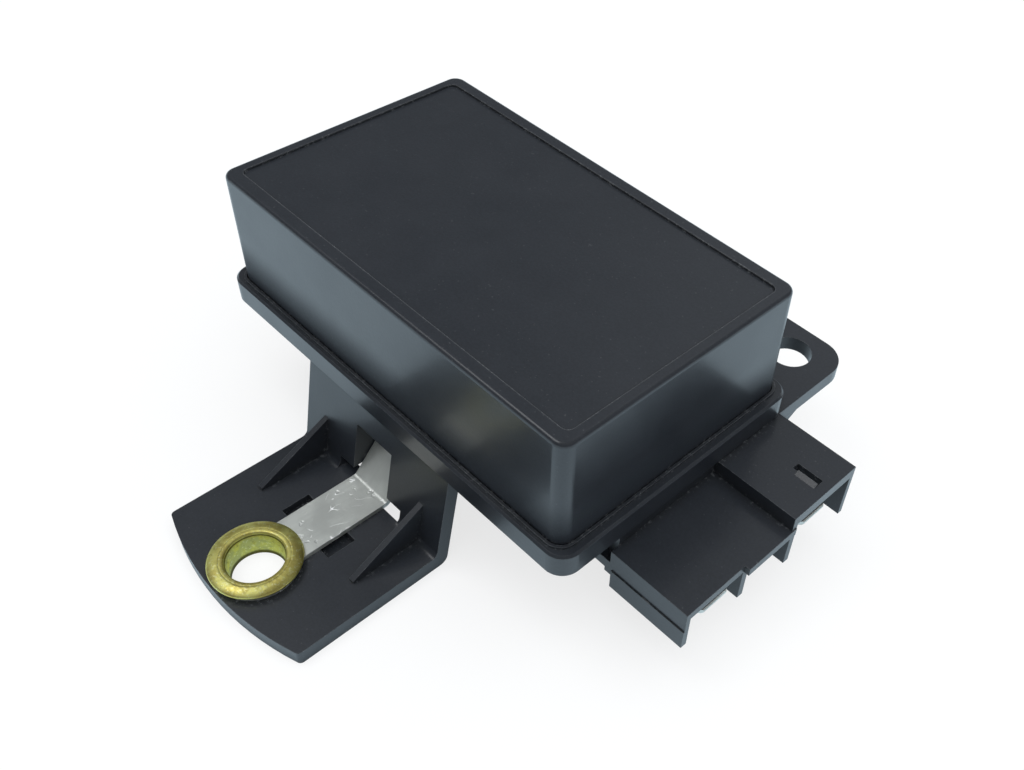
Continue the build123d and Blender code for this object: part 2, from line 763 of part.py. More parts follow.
def board_holes():
    """Solids to be cut from the board for screws, legs and tails."""
    low = board_bottom - solid_reach
    high = board_top + solid_reach
    holes = [board_place(x, y) * rod(0, 0, low, high, screw_shank_diameter + screw_hole_clearance)
             for x, y in post_places]
    holes.append(board_place(0, 0) * rod(clamp_x, sink_centre[1], low, high, tab_hole_diameter))
    for index in (-1, 0, 1):
        lane = sink_centre[1] + index * case_lead_pitch
        holes.append(board_place(0, 0) * leg_hole(lead_hole_x, lane, case_lead_width))
    for x, y, way, _, _, wire, spacing in wired_parts.values():
        for side in (-1, 1):
            holes.append(board_place(x, y, way) * leg_hole(side * spacing / 2, 0, wire))
    for x, y in small_transistors.values():
        for index in (-1, 0, 1):
            holes.append(board_place(x, y) * leg_hole(index * small_lead_pitch, 0, small_lead_size))
    for x, y, way in box_capacitors.values():
        for side in (-1, 1):
            holes.append(board_place(x, y, way)
                         * leg_hole(side * capacitor_lead_spacing / 2, 0, capacitor_lead_size))
    depth = strap_thickness / 2 + strap_clearance
    tail = strap_tail_width / 2 + strap_clearance
    holes.append(block((-tail, tail), (strap_tail_reach - depth, strap_tail_reach + depth),
                       (low, high)))
    depth = blade_thickness / 2 + strap_clearance
    tail = blade_tail_width / 2 + strap_clearance
    for middle in (supply_blade_y, field_blade_y):
        holes.append(block((blade_upright_x - depth, blade_upright_x + depth),
                           (middle - tail, middle + tail), (low, high)))
    return holes


def make_board():
    """Circuit board with every hole it needs."""
    board = slab(board_length, board_width, board_bottom, board_top, board_corner_radius)
    for hole in board_holes():
        board -= hole
    return board


def make_pieces():
    """Every piece of the regulator by its node name."""
    pieces = {
        "base": make_base(),
        "cover": make_cover(),
        "cover_seal": make_seal(),
        "earth_strap": make_strap(),
        "earth_bush": make_bush(),
        "supply_blade": make_blade(supply_blade_y),
        "field_blade": make_blade(field_blade_y),
        "circuit_board": make_board(),
        "board_screws": make_board_screws(),
        "heat_sink": make_sink(),
        "insulating_pad": make_pad(),
        "power_transistor": make_power_transistor(),
        "clamp_screw": make_clamp_screw(),
        "clamp_nut": make_clamp_nut(),
    }
    for name, sizes in wired_parts.items():
        pieces[name] = make_wired_part(*sizes)
    for name, place in small_transistors.items():
        pieces[name] = make_small_transistor(*place)
    for name, place in box_capacitors.items():
        pieces[name] = make_capacitor(*place)
    return pieces


os.makedirs("parts", exist_ok=True)
for name, piece in make_pieces().items():
    solids = piece if isinstance(piece, list) else [piece]
    whole = Compound(children=[solid for item in solids for solid in item.solids()])
    print(name, len(whole.solids()), round(whole.volume, 2))
    export_step(whole if len(whole.solids()) > 1 else whole.solids()[0], f"parts/{name}.step")
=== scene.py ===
"""Looks of an alternator voltage regulator, made round its solids."""
import math

import bmesh
import bpy
from bpy.props import FloatProperty, FloatVectorProperty, PointerProperty
from mathutils import Matrix, Vector


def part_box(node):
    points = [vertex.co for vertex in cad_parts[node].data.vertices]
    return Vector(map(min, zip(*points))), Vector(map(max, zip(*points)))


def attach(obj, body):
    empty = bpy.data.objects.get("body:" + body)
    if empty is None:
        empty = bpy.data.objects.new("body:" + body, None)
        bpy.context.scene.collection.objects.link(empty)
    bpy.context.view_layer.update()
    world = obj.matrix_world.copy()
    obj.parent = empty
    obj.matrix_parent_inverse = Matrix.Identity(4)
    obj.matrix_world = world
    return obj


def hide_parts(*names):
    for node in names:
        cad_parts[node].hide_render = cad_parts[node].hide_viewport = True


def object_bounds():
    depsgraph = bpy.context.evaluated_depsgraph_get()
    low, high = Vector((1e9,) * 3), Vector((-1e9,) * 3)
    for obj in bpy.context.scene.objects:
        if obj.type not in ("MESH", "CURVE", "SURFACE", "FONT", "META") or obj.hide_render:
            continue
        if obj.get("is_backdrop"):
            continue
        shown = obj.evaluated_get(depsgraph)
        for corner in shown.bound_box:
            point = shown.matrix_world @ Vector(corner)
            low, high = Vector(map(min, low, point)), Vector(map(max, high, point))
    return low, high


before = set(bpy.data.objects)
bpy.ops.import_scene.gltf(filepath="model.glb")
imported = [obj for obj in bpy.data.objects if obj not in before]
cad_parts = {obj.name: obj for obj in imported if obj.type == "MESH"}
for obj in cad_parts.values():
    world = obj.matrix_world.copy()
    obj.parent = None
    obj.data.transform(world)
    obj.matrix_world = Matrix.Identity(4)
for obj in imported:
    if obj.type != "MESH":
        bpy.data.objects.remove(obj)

bl_info = {
    "name": "Voltage Regulator Looks",
    "version": (1, 1, 0),
    "blender": (4, 5, 0),
    "location": "3D View > Sidebar > Regulator",
    "description": "Finishes, lamps and camera for an alternator voltage regulator",
    "category": "Object",
}

BODY = "root"
MM = 0.001

# Camera, in the part's own frame: metres, unit directions and pixels of the picture
PICTURE_WIDTH = 1024
PICTURE_HEIGHT = 770
NEAREST = 0.005
FARTHEST = 20.0
SENSOR_WIDTH = 36.0
CAMERA_PLACE = (0.099286, -0.035582, 0.139262)
CAMERA_RIGHT = (0.71280, 0.69795, 0.06916)
CAMERA_DOWN = (0.54102, -0.48441, -0.68749)
CAMERA_AHEAD = (-0.44633, 0.52746, -0.72289)
CAMERA_REACH = 1076.77
PRINCIPAL_POINT = (625.39, 411.28)

# Half section of the bush in millimetres, from the bore's lower end round its outside:
# radius and height
BUSH_SECTION = (
    (4.08, 0.00), (5.60, 0.00), (5.68, 0.08), (5.42, 0.34), (5.10, 0.68), (5.10, 3.40),
    (6.20, 3.40), (6.66, 3.48), (6.93, 3.60), (7.06, 3.73), (7.10, 3.87), (7.07, 4.00),
    (6.98, 4.11), (6.80, 4.21), (6.55, 4.31), (6.25, 4.41), (5.90, 4.48), (5.60, 4.52),
    (5.37, 4.54), (5.30, 4.52), (5.23, 4.53), (5.00, 4.53), (4.80, 4.51), (4.66, 4.46),
    (4.56, 4.38), (4.51, 4.28), (4.49, 4.16), (4.48, 4.04), (4.40, 3.97), (4.34, 3.80),
    (4.24, 0.62), (4.20, 0.40), (4.12, 0.10),
)
BUSH_TURNS = 144
BUSH_SHARP_ANGLE = math.radians(50.0)

# Radii that the finishes give to sharp edges, and the rays that find them
BASE_EDGE = 0.18 * MM
COVER_EDGE = 0.35 * MM
STRIP_EDGE = 0.12 * MM
FITTING_EDGE = 0.15 * MM
PAD_EDGE = 0.1 * MM
EDGE_SAMPLES = 6

# How the finishes change from place to place
PLASTIC_IOR = 1.5
BASE_ROUGHER = 0.02                  # the base's roughness above the cover's
FOOT_SHADE_FADE = 8.0 * MM                # height over which the painted shade at the cover's foot fades out
FOOT_SHADE_BELOW = 10.5 * MM              # the painted shade ends this far under the cover's top
FOOT_SHADE_SHARE = 0.7
CORNER_SHADE_REACH = 2.0 * MM              # corners within this reach get painted shade
SCRATCHED_BELOW = 4.0 * MM           # only the strap's flat is scratched
HOOD_SHADE_REACH = 5.0 * MM                # metal within this reach of a wall gets painted shade

# Radius of the crease in the bush's flange, and height where its mouth begins
BUSH_CREASE = 5.30 * MM
BUSH_MOUTH = 4.02 * MM

# Colours of the smaller pieces
SEALANT = (0.012, 0.012, 0.013)
BOARD_TRACK = (0.05, 0.22, 0.08)
BOARD_WEAVE = (0.3, 0.4, 0.2)
SINK_ALUMINIUM = (0.72, 0.73, 0.74)
PAD_SILICONE = (0.42, 0.43, 0.45)
SCREW_STEEL = (0.58, 0.58, 0.57)
GLINT_TIN = (0.98, 0.98, 0.96)
RUBBED_AND_LIT_TIN = (0.9, 0.9, 0.88)
BORE_LIME = (0.62, 0.60, 0.20)
BORE_YELLOW = (0.84, 0.78, 0.16)
BUSH_PALE = (0.92, 0.92, 0.55)
BUSH_BROWN = (0.40, 0.34, 0.09)
BUSH_SHADE = (0.07, 0.055, 0.02)

# Pieces on the board
LEG_COLOUR = (0.62, 0.62, 0.60)
SEAM = 0.05 * MM                     # over which a finish changes from body to leg
BAND_COLOURS = {
    "brown": (0.18, 0.07, 0.03), "black": (0.02, 0.02, 0.02), "red": (0.50, 0.04, 0.03),
    "gold": (0.60, 0.42, 0.12), "orange": (0.70, 0.24, 0.03), "silver": (0.60, 0.60, 0.58),
}
BAND_HALF = 0.08                     # of the barrel's half length
BAND_BLUR = 0.01
FIRST_BAND = -0.62
BAND_PITCH = 0.34
RESISTOR_COLOUR = (0.55, 0.43, 0.26)

# Body colour, bands, axis that the barrel lies along and its length in millimetres
BARRELS = {
    "freewheel_diode": ((0.030, 0.030, 0.034), ("silver",), 1, 9.5),
    "zener_diode": ((0.42, 0.12, 0.05), ("black",), 1, 5.2),
    "base_resistor": (RESISTOR_COLOUR, ("brown", "black", "red", "gold"), 0, 9.0),
    "bias_resistor": (RESISTOR_COLOUR, ("red", "red", "brown", "gold"), 0, 9.0),
    "feedback_resistor": (RESISTOR_COLOUR, ("orange", "orange", "red", "gold"), 0, 9.0),
    "upper_sense_resistor": (RESISTOR_COLOUR, ("brown", "red", "red", "gold"), 1, 6.5),
    "lower_sense_resistor": (RESISTOR_COLOUR, ("red", "brown", "red", "gold"), 1, 6.5),
}

# Body colour and height of the body in millimetres, from the top down to the legs
UPRIGHT_CASES = {
    "driver_transistor": ((0.025, 0.025, 0.027), 4.6),
    "sense_transistor": ((0.025, 0.025, 0.027), 4.6),
    "filter_capacitor": ((0.08, 0.13, 0.40), 7.0),
    "feedback_capacitor": ((0.08, 0.13, 0.40), 7.0),
}
POWER_CASE_COLOUR = (0.022, 0.022, 0.024)
POWER_TAB_LENGTH = 6.5 * MM
POWER_CASE_LENGTH = 9.1 * MM

# Stage
OVERHEAD = (0.22, 0.05, 0.974)       # direction that most of the room's light comes from
WINDOW = (-0.20, 0.70, 0.686)        # direction of the window that shows in reflections
OVERHEAD_FOCUS = 4.0                 # greater for a narrower light
WALL_FADE = (-0.05, 0.24)            # heights between which white walls turn into the ceiling
WINDOW_FADE = (0.90, 0.99)           # cosines between which the window becomes bright
ROOM_COLOUR = (0.93, 0.97, 1.0)
WHITE = (1.0, 1.0, 1.0)
BLACK = (0.0, 0.0, 0.0)
LAMP_COLOUR = (0.97, 0.985, 1.0)
LAMP_WAY = (-0.38, -0.20, 0.90)      # from the regulator's middle
LAMP_REACH = 0.9
FLOOR_PAINT = (0.55, 0.55, 0.55)
FLOOR_GAP = 0.05 * MM                # under the regulator
FLOOR_SHADE_REACH = 90 * MM          # the floor's glow gets a painted shadow within this reach of the regulator
FLOOR_SEEN_WHITE = 0.75              # share of the floor that glows white, straight on
FLOOR_MIRRORED_WHITE = 0.5           # and in reflections


class Signal:
    """A value on its way through a finish's nodes."""

    def __init__(self, finish, socket):
        self.finish = finish
        self.socket = socket

    def sibling(self, name):
        """Another output of the node that this value comes from."""
        return Signal(self.finish, self.socket.node.outputs[name])

    def maths(self, operation, *values, **settings):
        """A Math node on this value and others."""
        settings["operation"] = operation
        return self.finish.add("ShaderNodeMath", settings, dict(enumerate((self, *values))))

    def __add__(self, other):
        return self.maths("ADD", other)

    def __sub__(self, other):
        return self.maths("SUBTRACT", other)

    def __mul__(self, other):
        return self.maths("MULTIPLY", other)

    def __truediv__(self, other):
        return self.maths("DIVIDE", other)

    def __pow__(self, other):
        return self.maths("POWER", other)

    def __rsub__(self, other):
        return (self * -1.0) + other

    def __rtruediv__(self, other):
        return (self ** -1.0) * other

    __radd__ = __add__
    __rmul__ = __mul__

    def limited(self):
        """The value kept between 0 and 1."""
        return self.maths("ADD", 0.0, use_clamp=True)

    def sine(self):
        """Sine of the value in radians."""
        return self.maths("SINE")

    def size(self):
        """The value without its sign."""
        return self.maths("ABSOLUTE")

    def greater(self, other):
        """The greater of two values."""
        return self.maths("MAXIMUM", other)

    def between(self, low, high, at_low=0.0, at_high=1.0):
        """Smooth step from at_low to at_high while the value goes from low to high."""
        return self.finish.add(
            "ShaderNodeMapRange",
            {"interpolation_type": "SMOOTHSTEP", "clamp": True},
            {"Value": self, "From Min": low, "From Max": high,
             "To Min": at_low, "To Max": at_high},
        )


class Finish:
    """The nodes of one material, or of the surroundings."""

    def __init__(self, owner, output_kind="ShaderNodeOutputMaterial"):
        owner.use_nodes = True
        self.owner = owner
        self.tree = owner.node_tree
        self.tree.nodes.clear()
        self.output = self.tree.nodes.new(output_kind)

    @classmethod
    def named(cls, name):
        """The nodes of a new material."""
        return cls(bpy.data.materials.new(name))

    def feed(self, socket, value):
        """Links a signal to a socket, or sets a plain value on it."""
        if isinstance(value, Signal):
            self.tree.links.new(value.socket, socket)
        elif socket.type == "RGBA" and len(value) == 3:
            socket.default_value = (*value, 1.0)
        else:
            socket.default_value = value

    def add(self, kind, settings=None, inputs=None, output=0):
        """Adds a node of a type, with its settings first and then its sockets."""
        node = self.tree.nodes.new(kind)
        for name, value in (settings or {}).items():
            setattr(node, name, value)
        for name, value in (inputs or {}).items():
            self.feed(node.inputs[name], value)
        return Signal(self, node.outputs[output])

    def shade(self, shader):
        """Sends a shader to the output."""
        self.feed(self.output.inputs["Surface"], shader)
        return self.owner

    def place(self):
        """Position in the part's own frame."""
        return self.add("ShaderNodeTexCoord", output="Object")

    def axes(self, point):
        """X, Y and Z of a position as three signals."""
        x = self.add("ShaderNodeSeparateXYZ", inputs={0: point})
        return x, x.sibling("Y"), x.sibling("Z")

    def stretched(self, scale):
        """The position with each axis scaled."""
        return self.vector("MULTIPLY", self.place(), scale)

    def vector(self, operation, *values, output="Vector"):
        """A Vector Math node."""
        return self.add("ShaderNodeVectorMath", {"operation": operation}, dict(enumerate(values)),
                        output)

    def noise(self, scale, detail, roughness, point=None):
        """Cloudy noise, its scale in features to a metre."""
        return self.add("ShaderNodeTexNoise", {"noise_dimensions": "3D"},
                        {"Vector": point or self.place(), "Scale": scale, "Detail": detail,
                         "Roughness": roughness}, "Fac")

    def cells(self, scale, point):
        """Distance to the nearest of scattered points."""
        return self.add("ShaderNodeTexVoronoi", {"feature": "F1"},
                        {"Vector": point, "Scale": scale}, "Distance")

    def mixed(self, amount, first, second):
        """Two colours mixed."""
        node = self.tree.nodes.new("ShaderNodeMix")
        node.data_type = "RGBA"
        self.feed(node.inputs["Factor"], amount)
        colours = [socket for socket in node.inputs if socket.type == "RGBA"]
        self.feed(colours[0], first)
        self.feed(colours[1], second)
        return Signal(self, next(socket for socket in node.outputs if socket.type == "RGBA"))

    def varied(self, amount, colour, low, high):
        """A colour that goes from a darker to a lighter tone of itself."""
        return self.mixed(amount, [low * part for part in colour],
                          [min(1.0, high * part) for part in colour])

    def shown(self):
        """Masks of the rays that show the background: straight, and mirrored or refracted."""
        camera = self.add("ShaderNodeLightPath", output="Is Camera Ray")
        glossy = camera.sibling("Is Glossy Ray")
        return camera, (glossy + camera.sibling("Is Transmission Ray")).limited()

    def rounded(self, radius):
        """Normal that rounds the outer edges by a radius, and a mask of those edges."""
        soft = self.add("ShaderNodeBevel", {"samples": EDGE_SAMPLES}, {"Radius": radius}, "Normal")
        face = self.add("ShaderNodeNewGeometry", output="Normal")
        inside = self.add("ShaderNodeAmbientOcclusion",
                          {"inside": True, "only_local": True, "samples": EDGE_SAMPLES},
                          {"Distance": radius}, "AO")
        # Rays into the solid leave it again only near an outer edge
        outer = inside.between(0.84, 0.97, 1.0, 0.0)
        lean = self.vector("SUBTRACT", soft, face)
        lean = self.add("ShaderNodeVectorMath", {"operation": "SCALE"},
                        {"Vector": lean, "Scale": outer}, "Vector")
        normal = self.vector("NORMALIZE", self.vector("ADD", face, lean))
        cosine = self.vector("DOT_PRODUCT", soft, face, output="Value")
        edge = ((1.0 - cosine) * 6.0 * outer).limited()
        return normal, edge

    def open_air(self, distance):
        """1 on open faces and less in corners and slots."""
        return self.add("ShaderNodeAmbientOcclusion", {"samples": EDGE_SAMPLES},
                        {"Distance": distance}, "AO")

    def bump(self, height, distance, normal=None):
        """Normal of a fine relief, its distance in metres."""
        inputs = {"Height": height, "Distance": distance, "Strength": 1.0}
        if normal is not None:
            inputs["Normal"] = normal
        return self.add("ShaderNodeBump", None, inputs, "Normal")

    def principled(self, colour, roughness, normal, **constants):
        """A shader, with constants by socket name where _ stands for a space."""
        inputs = {"Base Color": colour, "Roughness": roughness, "Normal": normal}
        inputs.update({name.replace("_", " "): value for name, value in constants.items()})
        return self.add("ShaderNodeBsdfPrincipled", None, inputs, "BSDF")

    def surface(self, *looks, **constants):
        """The finished material of one shader."""
        return self.shade(self.principled(*looks, **constants))


def dress(node, material):
    """Gives a node of the frame its finish."""
    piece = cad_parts[node]
    piece.data.materials.clear()
    piece.data.materials.append(material)
    for polygon in piece.data.polygons:
        polygon.material_index = 0


def moulded_plastic(name, colour, worn_and_highlight_colour, roughness, edge_radius, dull_below=0.0):
    """Satin black moulding with faint flow marks and dust, worn edges with a painted highlight,
    painted shade in corners and a duller foot as painted shade.
    """
    finish = Finish.named(name)
    normal, edge = finish.rounded(edge_radius)
    flow = finish.noise(60.0, 2.0, 0.4, finish.stretched((1.0, 1.8, 1.0)))
    mottle = finish.noise(170.0, 2.0, 0.45)
    grain = finish.noise(2600.0, 1.0, 0.5)
    up = finish.axes(finish.place())[2]
    # Painted shade: the cover turns duller and less reflective towards its foot
    foot = up.between(dull_below - FOOT_SHADE_FADE, dull_below, 1.0, 0.0)
    speck = finish.noise(1700.0, 2.0, 0.6).between(0.54, 0.66)
    dust = finish.noise(2300.0, 1.0, 0.5).between(0.73, 0.77)
    # Partly real wear, partly a painted highlight: convex edges are painted paler
    wear_and_highlight = (edge * (0.35 + speck * 0.65) * mottle.between(0.36, 0.56, 0.45, 1.0)).limited()
    corner = finish.open_air(CORNER_SHADE_REACH).between(0.45, 0.95, 1.0, 0.0)
    seam = corner.between(0.6, 0.95) * speck
    tone = finish.varied(grain.between(0.3, 0.7) * 0.6 + flow * 0.4, colour, 0.85, 1.15)
    tone = finish.mixed(mottle.between(0.3, 0.7) * 0.08, tone, [1.7 * part for part in colour])
    # Painted shade: corners and slots are darkened
    tone = finish.mixed(corner * 0.45, tone, [0.3 * part for part in colour])
    tone = finish.mixed((dust * 0.16 + seam * 0.4).limited(), tone, worn_and_highlight_colour)
    tone = finish.mixed(wear_and_highlight * 0.75, tone, worn_and_highlight_colour)
    shine = (roughness + flow.between(0.3, 0.7, -0.01, 0.03)
             + mottle.between(0.3, 0.7, -0.01, 0.03) + dust * 0.2 + corner * 0.22 + foot * 0.2)
    normal = finish.bump(grain * 0.2 + flow * 1.2, 0.04 * MM, normal)
    satin = finish.principled(tone, shine, normal, IOR=PLASTIC_IOR, Coat_Weight=0.4,
                              Coat_Roughness=0.18, Coat_IOR=PLASTIC_IOR)
    shaded_foot = finish.principled(tone, 0.75, normal, Specular_IOR_Level=0.1)
    return finish.shade(finish.add("ShaderNodeMixShader", None,
                                   {0: foot * FOOT_SHADE_SHARE, 1: satin, 2: shaded_foot}))


def tinned_sheet(name, colour, run, metal):
    """Dull tinned strip, rolled along one axis, with small dents and scratches painted as white
    glints, and painted shade near walls.
    """
    finish = Finish.named(name)
    normal, edge = finish.rounded(STRIP_EDGE)
    rolled = finish.noise(1500.0, 3.0, 0.6, finish.stretched(run))
    cloud = finish.noise(230.0, 3.0, 0.5)
    dent = finish.noise(620.0, 2.0, 0.5)
    hollow = dent.between(0.62, 0.70) * cloud.between(0.46, 0.54)
    up = finish.axes(finish.place())[2]
    line = finish.noise(620.0, 1.0, 0.3, finish.stretched((1.0, 0.55, 1.0)))
    scratch_glint = (line - 0.5).size().between(0.006, 0.016, 1.0, 0.0)
    scratch_glint = scratch_glint * finish.noise(520.0, 1.0, 0.4).between(0.54, 0.60)
    scratch_glint = scratch_glint * up.between(SCRATCHED_BELOW - 0.5 * MM, SCRATCHED_BELOW, 1.0, 0.0)
    # Painted shade: metal near the hood's walls is darkened
    shade = finish.open_air(HOOD_SHADE_REACH).between(0.15, 0.65, 0.6, 0.0)
    tone = finish.varied(cloud.between(0.35, 0.65), colour, 0.9, 1.04)
    tone = finish.mixed(rolled.between(0.4, 0.7) * 0.3, tone, [0.84 * part for part in colour])
    tone = finish.mixed(shade, tone, [0.35 * part for part in colour])
    # Painted glints: scratches and dents turn white and lose their metal
    tone = finish.mixed((scratch_glint * 0.9 + hollow * 0.35).limited(), tone, GLINT_TIN)
    # Partly rubbing, partly a painted highlight: edges are painted paler
    tone = finish.mixed(edge * 0.5, tone, RUBBED_AND_LIT_TIN)
    shine = (0.36 + cloud.between(0.35, 0.7, -0.03, 0.05) + rolled.between(0.4, 0.7, 0.0, 0.05)
             - scratch_glint * 0.12)
    height = rolled * 0.2 + cloud * 0.5 - hollow * 1.0 + scratch_glint * 0.4
    return finish.surface(tone, shine, finish.bump(height, 0.05 * MM, normal),
                          Metallic=metal * (1.0 - scratch_glint))


def passivated_bush(name, colour, deep_colour):
    """Olive gold passivated turning, with stains, and painted shade at its mouth, its crease and
    the bore's lower end.
    """
    finish = Finish.named(name)
    x, y, z = finish.axes(finish.place())
    radius = (x * x + y * y) ** 0.5
    stain = finish.noise(330.0, 3.0, 0.6)
    fine = finish.noise(1500.0, 2.0, 0.6)
    speck = finish.noise(2600.0, 2.0, 0.6)
    inside = radius.between(4.40 * MM, 4.46 * MM, 1.0, 0.0)
    mouth = (z - BUSH_MOUTH).size().between(0.0, 0.16 * MM, 1.0, 0.0) * radius.between(
        4.5 * MM, 4.6 * MM, 1.0, 0.0)
    foot = inside * z.between(0.35 * MM, 0.75 * MM, 1.0, 0.0)
    crease = (radius - BUSH_CREASE).size().between(0.0, 0.10 * MM, 1.0, 0.0) * z.between(
        4.2 * MM, 4.3 * MM)
    lip = radius.between(4.9 * MM, BUSH_CREASE, 1.0, 0.0)
    tone = finish.mixed(stain.between(0.40, 0.60), deep_colour, colour)
    tone = finish.mixed(lip * 0.35, tone, deep_colour)
    lime = finish.mixed(stain.between(0.42, 0.58), BORE_LIME, BORE_YELLOW)
    tone = finish.mixed(inside, tone, lime)
    tone = finish.mixed(speck.between(0.56, 0.68) * 0.55, tone, BUSH_PALE)
    tone = finish.mixed(fine.between(0.58, 0.74) * 0.5, tone, BUSH_BROWN)
    # Painted shade: dark lines at the mouth and the crease, and a dark band at the bore's lower
    # end
    dark = (mouth * 0.85 + foot * 0.85 + crease * 0.35).limited()
    tone = finish.mixed(dark, tone, BUSH_SHADE)
    shine = (0.38 + stain.between(0.3, 0.7, -0.04, 0.08) + fine.between(0.4, 0.7, 0.0, 0.08)
             + inside * 0.06)
    height = speck * 0.3 + fine * 0.5 + stain * 0.5
    return finish.surface(tone, shine, finish.bump(height, 0.06 * MM), Metallic=1.0)


def dull_sealant(name, colour):
    """Sealant with small dimples."""
    finish = Finish.named(name)
    dimple = finish.noise(900.0, 3.0, 0.6)
    tone = finish.varied(dimple.between(0.35, 0.65), colour, 0.8, 1.2)
    return finish.surface(tone, dimple.between(0.3, 0.7, 0.65, 0.85),
                          finish.bump(dimple, 0.1 * MM), IOR=1.45)


def board_laminate(name, colour, track_colour, low, high):
    """Green laminate with raised tracks under its lacquer on the side away from the parts."""
    finish = Finish.named(name)
    x, y, z = finish.axes(finish.place())
    weave = (x * 9000.0).sine() * (y * 9000.0).sine()
    lanes = finish.cells(150.0, finish.stretched((1.0, 1.0, 0.0)))
    track = lanes.between(0.36, 0.4)
    stain = finish.noise(200.0, 3.0, 0.5)
    tone = finish.varied(stain.between(0.35, 0.65), colour, 0.85, 1.0)
    tone = finish.mixed((track * z.between(low, high, 1.0, 0.0)).limited(), tone, track_colour)
    tone = finish.mixed((weave * 0.06 + 0.06).limited(), tone, BOARD_WEAVE)
    relief = finish.bump(track * 0.6 + weave * 0.1, 0.03 * MM)
    return finish.surface(tone, stain.between(0.3, 0.7, 0.3, 0.42), relief, Coat_Weight=0.3,
                          Coat_Roughness=0.15)


def folded_metal(name, colour, roughness, run):
    """Rolled metal with fine lines along one axis."""
    finish = Finish.named(name)
    normal, edge = finish.rounded(FITTING_EDGE)
    line = finish.noise(1100.0, 3.0, 0.6, finish.stretched(run))
    cloud = finish.noise(180.0, 4.0, 0.55)
    tone = finish.varied(cloud.between(0.35, 0.65), colour, 0.86, 1.0)
    # Painted highlight: edges are painted paler
    tone = finish.mixed(edge * 0.4, tone, [min(1.0, 1.2 * part) for part in colour])
    shine = roughness + line.between(0.4, 0.7, -0.04, 0.06) + cloud.between(0.4, 0.7, 0.0, 0.06)
    return finish.surface(tone, shine, finish.bump(line, 0.03 * MM, normal), Metallic=1.0)


def moulded_case(name, colour, roughness):
    """Small moulded piece with a fine pebble and edges painted paler as a highlight."""
    finish = Finish.named(name)
    normal, edge = finish.rounded(PAD_EDGE)
    pebble = finish.noise(2200.0, 2.0, 0.6)
    cloud = finish.noise(320.0, 3.0, 0.5)
    tone = finish.varied(cloud.between(0.35, 0.65), colour, 0.85, 1.15)
    # Painted highlight: edges are painted paler
    tone = finish.mixed(edge * 0.3, tone, [min(1.0, 1.8 * part + 0.03) for part in colour])
    return finish.surface(tone, pebble.between(0.4, 0.7, roughness, roughness + 0.06),
                          finish.bump(pebble, 0.03 * MM, normal))


def cased_part(name, colour, metal_colour, is_metal, bands=()):
    """Moulded or lacquered body with its tinned legs, wires or tab."""
    finish = Finish.named(name)
    normal, edge = finish.rounded(FITTING_EDGE)
    metal = is_metal(finish)
    pebble = finish.noise(1900.0, 2.0, 0.6)
    cloud = finish.noise(300.0, 3.0, 0.5)
    tone = finish.varied(cloud.between(0.35, 0.65), colour, 0.86, 1.12)
    for mask, band_colour in bands:
        tone = finish.mixed(mask(finish), tone, band_colour)
    # Painted highlight: edges are painted paler
    tone = finish.mixed(edge * 0.2, tone, [min(1.0, 1.5 * part + 0.02) for part in colour])
    tone = finish.mixed(metal, tone, metal_colour)
    shine = pebble.between(0.35, 0.7, 0.34, 0.46) - metal * 0.06
    return finish.surface(tone, shine, finish.bump(pebble, 0.03 * MM, normal), Metallic=metal)


class RegulatorFinishes(bpy.types.PropertyGroup):
    """Colours and gloss of the regulator."""

    plastic: FloatVectorProperty(
        name="Moulding", description="Black of the base and the cover", subtype="COLOR",
        size=3, min=0.0, max=1.0, default=(0.0190, 0.0222, 0.0285))
    # Pale tone of dust and worn edges, which also serves as the painted highlight along edges
    worn_and_highlight_plastic: FloatVectorProperty(
        name="Worn moulding", description="Paler tone along rubbed edges", subtype="COLOR",
        size=3, min=0.0, max=1.0, default=(0.22, 0.23, 0.24))
    plastic_roughness: FloatProperty(
        name="Moulding roughness", description="Roughness of the base and the cover",
        subtype="FACTOR", min=0.0, max=1.0, default=0.31)
    tin: FloatVectorProperty(
        name="Tinned strip", description="Strap and blades", subtype="COLOR",
        size=3, min=0.0, max=1.0, default=(0.74, 0.76, 0.72))
    bush: FloatVectorProperty(
        name="Bush", description="Passivated bush", subtype="COLOR",
        size=3, min=0.0, max=1.0, default=(0.80, 0.76, 0.25))
    bush_deep: FloatVectorProperty(
        name="Bush, deep", description="Darker patches of the bush", subtype="COLOR",
        size=3, min=0.0, max=1.0, default=(0.68, 0.59, 0.17))
    board: FloatVectorProperty(
        name="Board", description="Circuit board", subtype="COLOR",
        size=3, min=0.0, max=1.0, default=(0.03, 0.14, 0.05))


class RegulatorLight(bpy.types.PropertyGroup):
    """Lamp and surroundings."""

    lamp_power: FloatProperty(
        name="Softbox", description="Power of the softbox overhead", unit="POWER",
        min=0.0, default=1.35)
    lamp_size: FloatProperty(
        name="Softbox size", description="Side of the softbox", unit="LENGTH",
        min=0.05, default=0.40)
    room: FloatProperty(
        name="Room light", description="Soft light from the walls", min=0.0, default=0.15)
    overhead: FloatProperty(
        name="Overhead light", description="Soft light added from overhead",
        min=0.0, default=2.6)
    ceiling: FloatProperty(
        name="Ceiling", description="Brightness of the ceiling in reflections",
        min=0.0, default=0.15)
    window: FloatProperty(
        name="Window", description="Brightness that a window adds in reflections",
        min=0.0, default=0.28)
    floor_tint: FloatVectorProperty(
        name="Floor in reflections", description="Colour of the floor in reflections",
        subtype="COLOR", size=3, min=0.0, max=1.0, default=(0.74, 0.90, 1.0))
    floor_size: FloatProperty(
        name="Floor", description="Side of the floor", unit="LENGTH", min=0.5, default=6.0)


